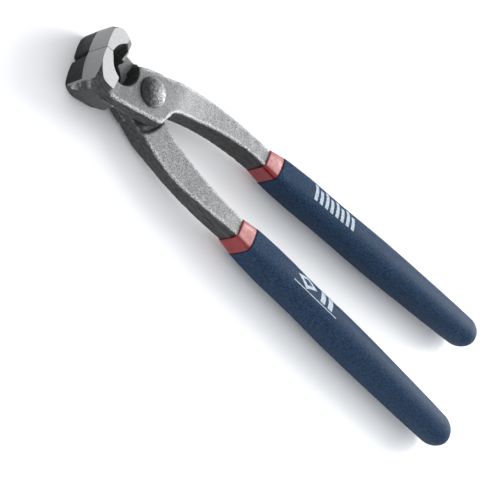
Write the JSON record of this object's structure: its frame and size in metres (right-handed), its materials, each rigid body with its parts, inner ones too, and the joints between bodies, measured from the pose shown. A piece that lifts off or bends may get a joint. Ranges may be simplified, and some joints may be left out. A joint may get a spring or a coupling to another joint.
{
  "type": "end cutting pliers",
  "caption": "Tower pincers with wide nipping jaws, a riveted lap joint and long handles in red and dark blue dipped sleeves, lying closed on one side.",
  "frame": {"origin": "centre of the closed tool's footprint, on the ground far side of the jaws that it lies on", "axes": "+X along the tool towards the jaws, +Z along the rivet towards its domed head, +Y across the tool towards the near lever's jaw"},
  "size_m": [0.251, 0.068, 0.022],
  "materials": {
    "forged_steel": "sandblasted forging with ground jaw faces",
    "rivet_steel": "dark hammered dome",
    "red_dip": "glossy dipped vinyl",
    "blue_dip": "matt fine-grained dipped vinyl"
  },
  "bodies": {
    "far_half": {"far_lever": "forged_steel", "pivot_rivet": "rivet_steel", "far_inner_sleeve": "red_dip", "far_grip": "blue_dip"},
    "near_half": {"near_lever": "forged_steel", "near_inner_sleeve": "red_dip", "near_grip": "blue_dip"}
  },
  "joints": [
    {"name": "pivot", "type": "hinge", "parent": "far_half", "child": "near_half", "pos_m": [0.0982, 0, 0.0105], "axis": [0, 0, 1], "range_deg": [0, 45]}
  ]
}
